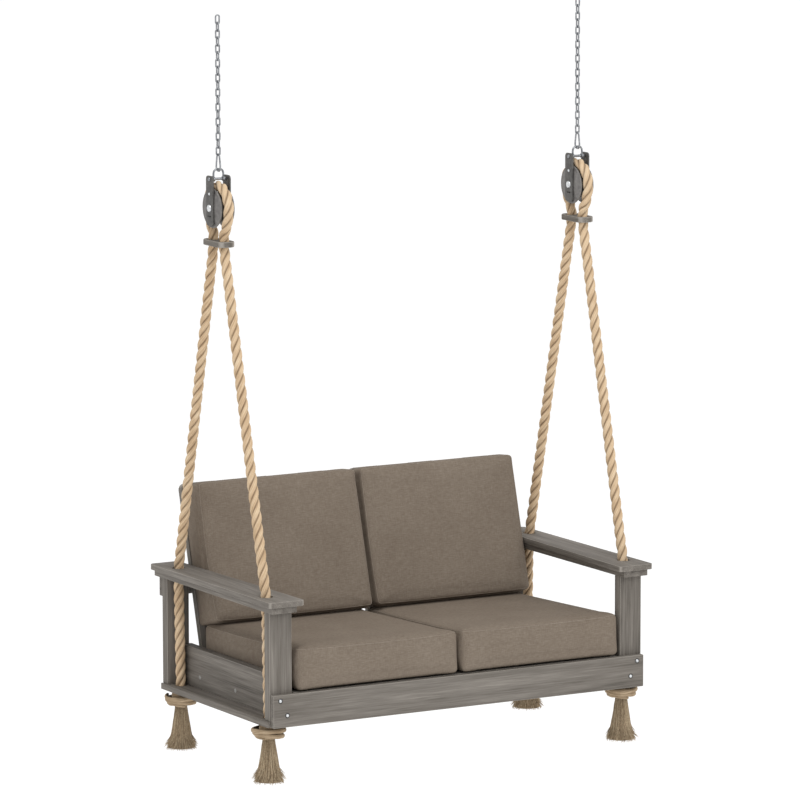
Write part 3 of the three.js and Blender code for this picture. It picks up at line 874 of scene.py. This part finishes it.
screws = Shape()
slope = math.radians(-BACK_TILT)
behind = Vector((0, math.cos(slope), -math.sin(slope)))
up_slope = Vector((0, math.sin(slope), math.cos(slope)))
for node in back_slats:
    low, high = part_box(node)
    middle = (low + high) / 2 + behind * SLAT_THICK / 2 * MM
    for across in SCREWS_ACROSS:
        for along in SCREWS_ALONG:
            centre = middle + Vector((across * MM, 0, 0)) + up_slope * along * MM
            dome(screws, centre, behind, SCREW_RADIUS, 1.6)
piece("slat_screws", screws.mesh("slat_screws"), IRON, sharp=40)
print("bolts and screws:", len(bolts.points), "and", len(screws.points), "points")

# %% [markdown]
# The chains are plain welded links, each turned a quarter against the next, so a link's inside
# length is also the chain's pitch. The last link hangs a pear-shaped one, which carries the
# shackle of the pulley block. The top two links are separate pieces, because they turn on the
# ceiling hook and on each other.

# %% Chains
LINK_PITCH = 25.3
LINK_COUNT = 19
LINK_WIRE = 2.75
LINK_HALF_WIDTH = 7.1
TOP = -rail_low.z / MM


def link(shape, x, height, inner, turned):
    """A link about a height above the bench's underside, wide along X or, turned, along Y."""
    straight = inner / 2 + LINK_WIRE - LINK_HALF_WIDTH
    path = []
    for n in range(28):
        angle = 2 * math.pi * n / 28
        wide = LINK_HALF_WIDTH * math.cos(angle)
        high = LINK_HALF_WIDTH * math.sin(angle) + math.copysign(straight, math.sin(angle) + 1e-9)
        across, along = (0, wide) if turned else (wide, 0)
        path.append(spot(x + across, HANG_DEPTH + along, height + high))
    return shape.tube(path, LINK_WIRE * MM, 12, closed=True)


def pear(shape, x):
    """The pear-shaped link under the chain: narrow where the chain bears, wide below."""
    half = [(0, 1949.6), (5, 1948), (8.6, 1942.5), (10.6, 1934), (12.6, 1922), (14.4, 1910),
            (14, 1901), (10.6, 1894.4), (5.6, 1891.6), (0, 1891)]
    path = [spot(x, HANG_DEPTH + y, z) for y, z in half]
    path += [spot(x, HANG_DEPTH - y, z) for y, z in half[-2:0:-1]]
    return shape.tube(smooth(path + path[:1], 0.003)[:-1], 3 * MM, 14, closed=True)


for side, sign in SIDES.items():
    x = sign * HANG_HALF_WIDTH
    heights = [TOP - LINK_PITCH * (n + 0.5) for n in range(LINK_COUNT)]
    ends = {0: ("top_link", "hang_links"), 1: ("second_link", f"hanger_{side}")}
    for index, (name, body) in ends.items():
        shape = link(Shape(), x, heights[index], LINK_PITCH + 0.7, index % 2 == 1)
        piece(f"{name}_wire_{side}", shape.mesh(name), ZINC, body, [f"{name}_{side}"], 60)
    chain = Shape()
    for index in range(2, LINK_COUNT):
        link(chain, x, heights[index], LINK_PITCH + 0.1, index % 2 == 1)
    pear(chain, x)
    piece(f"chain_links_{side}", chain.mesh("chain_links"), ZINC, f"chain_{side}",
          [f"chain_{side}"], 60)
print("links in each chain:", LINK_COUNT, "with a pear link below")

# %% [markdown]
# A pulley block is a grooved sheave between two round cheeks, held by two flat straps. The
# straps stand up past the cheeks and take the cross pin that the shackle hangs on. The cheeks
# are turned, with a raised rim and a shallow dome. The sheave has its own body, because it
# turns as the rope runs.

# %% Pulley blocks
CHEEK_RADIUS = 69
CHEEK_INNER = 21.5
CHEEK_OUTER = 30.5
STRAP_THICK = 5
STRAP_WIDTH = 50
STRAP_BOTTOM, STRAP_TOP = 1702, 1876
PIN_HEIGHT = 1864
RIVET_HEIGHT = 1813
SLOT_HEIGHT = 1735
SLOT_HALF_LENGTH = 10
AXLE_RADIUS = 8
GROOVE_RADIUS = 20.6
SHEAVE_RIM = 64
SHEAVE_HALF_WIDTH = 20


def in_metres(profile):
    return [[radius * MM, along * MM] for radius, along in profile]


def cheek_profile():
    rim = [(8.6, 0), (CHEEK_RADIUS - 1, 0), (CHEEK_RADIUS, 1), (CHEEK_RADIUS, 4.2),
           (CHEEK_RADIUS - 1.2, 5.6), (CHEEK_RADIUS - 4, 6), (CHEEK_RADIUS - 6, 5.2)]
    rim = [[radius, CHEEK_INNER + rise] for radius, rise in rim]
    crown = []
    for step in range(9):
        share = step / 8
        crown.append([blend(57, 22, share), blend(CHEEK_INNER + 5.6, CHEEK_OUTER, share ** 0.6)])
    return rim + crown + [[8.6, CHEEK_OUTER]]


def sheave_profile():
    profile = [[8.4, -SHEAVE_HALF_WIDTH], [20, -SHEAVE_HALF_WIDTH], [22, -SHEAVE_HALF_WIDTH + 3],
               [50, -SHEAVE_HALF_WIDTH + 3], [52, -SHEAVE_HALF_WIDTH],
               [SHEAVE_RIM - 1, -SHEAVE_HALF_WIDTH], [SHEAVE_RIM, -SHEAVE_HALF_WIDTH + 0.6]]
    edge = math.acos((SHEAVE_PITCH_RADIUS - SHEAVE_RIM) / GROOVE_RADIUS)
    for step in range(17):
        angle = blend(-edge + 0.03, edge - 0.03, step / 16)
        profile.append([SHEAVE_PITCH_RADIUS - GROOVE_RADIUS * math.cos(angle),
                        GROOVE_RADIUS * math.sin(angle)])
    return profile + [[radius, -along] for radius, along in profile[6::-1]]


def headed_pin(shape, centre, radius, half, head, thick):
    """A pin along X with a domed head at each end."""
    end = [[radius, half - 0.1], [head, half - 0.1], [head, half + 0.3],
           [head * 0.85, half + 0.75 * thick], [head * 0.5, half + thick], [0, half + thick]]
    profile = [[r, -along] for r, along in end[::-1]] + end
    return shape.turn(in_metres(profile), centre, (1, 0, 0), 32)


for side, sign in SIDES.items():
    x = sign * HANG_HALF_WIDTH
    axle_at = spot(x, HANG_DEPTH, SHEAVE_HEIGHT)
    sheave = Shape().turn(in_metres(sheave_profile()), axle_at, (1, 0, 0), 72)
    piece(f"grooved_sheave_{side}", sheave.mesh("sheave"), IRON, f"sheave_{side}",
          [f"sheave_{side}"])
    for face, out in (("outer", sign), ("inner", -sign)):
        cheek = Shape().turn(in_metres(cheek_profile()), axle_at, (out, 0, 0), 72)
        piece(f"domed_cheek_{face}_{side}", cheek.mesh("cheek"), CHEEK_PAINT,
              replaces=[f"cheek_{face}_{side}"])
        middle = (STRAP_TOP + STRAP_BOTTOM) / 2
        outline = rounded_outline(STRAP_WIDTH, STRAP_TOP - STRAP_BOTTOM, 13, 6)
        bores = [circle(0, SHEAVE_HEIGHT - middle, AXLE_RADIUS + 0.6, 24),
                 circle(0, PIN_HEIGHT - middle, 5.2, 20)]
        stand = Matrix.Translation(spot(x + out * (CHEEK_OUTER + 0.3 + STRAP_THICK / 2),
                                        HANG_DEPTH, middle))
        strap = plank("strap", outline, STRAP_THICK, stand @ ON_EDGE, 0.9, bores)
        piece(f"flat_strap_{face}_{side}", strap, IRON,
              replaces=[f"strap_{face}_{side}"], sharp=20)
    grip = CHEEK_OUTER + STRAP_THICK + 0.6
    axle = headed_pin(Shape(), axle_at, AXLE_RADIUS, grip, 13, 5)
    piece(f"axle_bolt_{side}", axle.mesh("axle"), BRIGHT_BOLT,
          replaces=[f"axle_{side}"])
    cross = headed_pin(Shape(), spot(x, HANG_DEPTH, PIN_HEIGHT), 4.5, grip, 7, 3.5)
    piece(f"cross_pin_{side}", cross.mesh("pin"), ZINC, replaces=[f"block_pin_{side}"])
    small, slot = Shape(), Shape()
    for out in (-1, 1):
        face = x + out * grip
        dome(small, spot(face, HANG_DEPTH, RIVET_HEIGHT), (out, 0, 0), 5, 3)
        ends = (-SLOT_HALF_LENGTH, SLOT_HALF_LENGTH)
        # Each strap's slot is a near-black rod on its face: painted shade inside the slot.
        slot.tube([spot(face, HANG_DEPTH + y, SLOT_HEIGHT) for y in ends], 2.3 * MM, 10)
    piece(f"strap_rivets_{side}", small.mesh("rivets"), BRIGHT_BOLT)
    piece(f"strap_slots_painted_shade_{side}", slot.mesh("slots"), PAINTED_SHADE_BLACK)
print("blocks made:", len(SIDES))

# %% [markdown]
# A bow shackle joins each block to its chain: a bent rod with a flattened eye on each end. It
# has its own body, because it rocks on the cross pin.

# %% Shackles and the plates that gather the ropes
SHACKLE_WIRE = 3.5


def shackle(x):
    top = 1894 + 0.3 + SHACKLE_WIRE - PIN_HEIGHT
    half = [(19, 6), (19.2, 12), (18.8, top - 13), (16.6, top - 6.5), (11.5, top - 1.6), (5, top)]
    bow = [spot(x + a, HANG_DEPTH, PIN_HEIGHT + z) for a, z in half]
    bow += [spot(x - a, HANG_DEPTH, PIN_HEIGHT + z) for a, z in half[::-1]]
    shape = Shape().tube(smooth(bow, 0.003), SHACKLE_WIRE * MM, 14)
    for out in (-1, 1):
        eye_at = spot(x + out * 19, HANG_DEPTH, PIN_HEIGHT)
        profile = [[4.9, -3.5], [8.2, -3.5], [9, -2.6], [9, 2.6], [8.2, 3.5], [4.9, 3.5]]
        shape.turn(in_metres(profile), eye_at, (1, 0, 0), 28)
    return shape


for side, sign in SIDES.items():
    x = sign * HANG_HALF_WIDTH
    piece(f"bow_shackle_{side}", shackle(x).mesh("shackle"), ZINC, f"shackle_{side}",
          [f"shackle_{side}"])
    low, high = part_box(f"spacer_plate_{side}")
    size = (high - low) / MM
    holes = [circle(0, leg * 38.8, 20.6) for leg in ENDS.values()]
    plate = plank("plate", rounded_outline(size.x, size.y, 27, 8), size.z,
                  Matrix.Translation((low + high) / 2), 3, holes)
    board(f"gathering_plate_{side}", plate, WOOD["y"], f"spacer_plate_{side}")
print("plates made:", len(SIDES))

# %% [markdown]
# Each cushion is a canvas box over foam. It starts as a block with soft edges, a little smaller
# than the real one. A voxel remesh gives it an even skin, and the cloth solver blows it up with
# air pressure while gravity is off. The swelling is capped at a few millimetres, and fades out
# towards the side that rests on the slats, so the flat base stays flat. The cover is then
# smoothed and fitted to its size.

# %% Cushions
VOXEL = 5.5 * MM
AIR = 4
FRAMES = 20
SWELL_CAP = 3.5
CUSHION_INSET = 4
SEAM_INSET = 7
SEAM_DROP = 5
SEAM_RADIUS = 1.1


def soft_block(name, size, inset, ease):
    """A block about the origin, in millimetres, smaller by inset all round, its edges rounded."""
    block = bmesh.new()
    bmesh.ops.create_cube(block, size=1)
    scale = Vector([side - 2 * inset for side in size]) * MM
    bmesh.ops.scale(block, vec=scale, verts=block.verts)
    bmesh.ops.bevel(block, geom=list(block.edges), offset=ease * MM, segments=5, profile=0.5,
                    affect="EDGES")
    mesh = bpy.data.meshes.new(name)
    block.to_mesh(mesh)
    block.free()
    made = bpy.data.objects.new(name, mesh)
    bpy.context.scene.collection.objects.link(made)
    return made


def settled(made, modifier):
    """Applies what a modifier makes of an object, and returns its points."""
    evaluated = made.evaluated_get(bpy.context.evaluated_depsgraph_get())
    mesh = bpy.data.meshes.new_from_object(evaluated)
    made.modifiers.remove(modifier)
    made.data = mesh
    return [v.co.copy() for v in mesh.vertices]


def blown(made, start):
    """Where the cloth solver moves each point when air fills the cover."""
    air = made.modifiers.new("air", "CLOTH")
    air.settings.use_pressure = True
    air.settings.uniform_pressure_force = AIR
    air.settings.effector_weights.gravity = 0
    air.settings.quality = 4
    air.settings.mass = 0.4
    air.settings.tension_stiffness = 30
    air.settings.compression_stiffness = 30
    air.settings.bending_stiffness = 6
    air.point_cache.frame_end = FRAMES
    for step in range(1, FRAMES + 1):
        bpy.context.scene.frame_set(step)
    moved = settled(made, air)
    bpy.context.scene.frame_set(1)
    return moved


def swell(made, size):
    """Blows the object up by no more than the cap, less where it rests, and fits it to size."""
    skin = made.modifiers.new("skin", "REMESH")
    skin.mode = "VOXEL"
    skin.voxel_size = VOXEL
    start = settled(made, skin)
    moved = blown(made, start)
    most = SWELL_CAP * MM
    for vertex, first, last in zip(made.data.vertices, start, moved):
        shift = last - first
        rests = min(max(1 - (first.z / MM + size[2] / 2) / (0.4 * size[2]), 0), 1)
        shift *= 1 - 0.8 * rests
        vertex.co = first + shift * min(1, most / max(shift.length, 1e-9))
    even = made.modifiers.new("even", "SMOOTH")
    even.factor, even.iterations = 0.5, 3
    settled(made, even)
    for axis in range(3):
        values = [v.co[axis] for v in made.data.vertices]
        low, high = min(values), max(values)
        for vertex in made.data.vertices:
            share = (vertex.co[axis] - low) / (high - low) - 0.5
            vertex.co[axis] = share * size[axis] * MM
    finer = made.modifiers.new("finer", "SUBSURF")
    finer.levels = finer.render_levels = 1
    settled(made, finer)


def seam_line(made, size, height):
    """A sewn edge: a fine cord that lies on the cover, round it, near a height of the block."""
    outline = rounded_outline(size[0] - 2 * SEAM_INSET, size[1] - 2 * SEAM_INSET, 14, 6)
    corners = [Vector((x * MM, y * MM, height * MM)) for x, y in outline]
    line = []
    for point in smooth(corners + corners[:1], 0.008)[:-1]:
        _, place, normal, _ = made.closest_point_on_mesh(point)
        line.append(place + 0.2 * MM * normal)
    return Shape().tube(line, SEAM_RADIUS * MM, 6, closed=True).mesh("seam")


def pressed(mesh):
    """Flattens what would pass through the back slats onto a plane just in front of them."""
    low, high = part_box(back_slats[0])
    wall = (low + high) / 2 - behind * (SLAT_THICK / 2 + 1) * MM
    for vertex in mesh.vertices:
        past = (vertex.co - wall).dot(behind)
        if past > 0:
            vertex.co -= past * behind


def cushion_pair(kind, size, tilt, turn, ease, shift):
    """A swollen cushion on its plane and its mirrored twin.

    shift moves it from its node's middle, in millimetres, across, along and off its plane."""
    made = soft_block(kind, size, CUSHION_INSET, ease)
    swell(made, size)
    names = [f"{kind}_cushion_left", f"{kind}_cushion_right"]
    place = tilted(names[0], tilt) @ turn @ Matrix.Translation((0, shift[1] * MM, shift[2] * MM))
    across = Matrix.Translation((shift[0] * MM, 0, 0))
    front_seam = seam_line(made, size, size[2] / 2 - SEAM_DROP)
    for name, scale in zip(names, (1, -1)):
        mirror = Matrix.Diagonal((scale, 1, 1, 1))
        cover, seam = made.data.copy(), front_seam.copy()
        for mesh in (cover, seam):
            mesh.transform(across @ mirror @ place)
            if scale < 0:
                mesh.flip_normals()
            pressed(mesh)
        cushion = piece(f"{name}_cover", cover, CANVAS, "seat", [name], 80)
        # The seam cord's paler canvas is a painted highlight along the cushion's top edge.
        piece(f"{name}_seam", seam, SEAM_HIGHLIGHT_CANVAS, "seat", sharp=80)
    bpy.data.objects.remove(made)
    print(kind, "cushion faces:", len(cover.polygons))


cushion_pair("seat", (652, 705, 157), SEAT_TILT, Matrix.Identity(4), 16, (1, 0.5, 1.5))
cushion_pair("back", (652, 511, 149), BACK_TILT, upright, 15, (1, -4.5, 0.5))

# %% [markdown]
# The stage is a wide pale floor well below the swing, a soft key light from high on the left, a
# weaker one from the front right and an even pale sky. None of it is part of the swing.

# %% Stage and light
FLOOR_DROP = 1500
floor_mesh = bpy.data.meshes.new("floor")
reach = 150
floor_mesh.from_pydata([(x * reach, y * reach, 0) for x, y in ((-1, -1), (1, -1), (1, 1), (-1, 1))],
                       [], [(0, 1, 2, 3)])
floor = bpy.data.objects.new("floor", floor_mesh)
floor.location = spot(0, 400, -FLOOR_DROP)
bpy.context.scene.collection.objects.link(floor)
pale = Finish("pale_floor", roughness=0.9, emission_strength=0.2)
floor_mesh.materials.append(pale.wear(base_color=linear("fafafa")))
floor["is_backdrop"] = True


def soft_light(name, azimuth, elevation, distance, size, power):
    """An area light that shines at the middle of the swing."""
    data = bpy.data.lights.new(name, "AREA")
    data.size, data.energy = size, power
    light = bpy.data.objects.new(name, data)
    a, e = math.radians(azimuth), math.radians(elevation)
    middle = spot(0, 400, 900)
    light.location = middle + distance * Vector((math.sin(a) * math.cos(e),
                                                 -math.cos(a) * math.cos(e), math.sin(e)))
    light.rotation_mode = "QUATERNION"
    light.rotation_quaternion = (middle - light.location).to_track_quat("-Z", "Y")
    bpy.context.scene.collection.objects.link(light)


soft_light("key", -35, 64, 7, 2.2, 150)
soft_light("fill", 24, 24, 8, 3.0, 90)
world = bpy.data.worlds.new("sky")
world.use_nodes = True
world.node_tree.nodes["Background"].inputs["Color"].default_value = (1, 1, 1, 1)
world.node_tree.nodes["Background"].inputs["Strength"].default_value = 0.86
bpy.context.scene.world = world
bpy.context.scene.view_settings.view_transform = "Standard"

# %% [markdown]
# Last, the size of the box round everything shown, the floor left out, is printed. The
# surface should stay close to the frame that it covers.

# %% Sizes
low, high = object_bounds()
print("visual box:", [round(v, 3) for v in high - low])
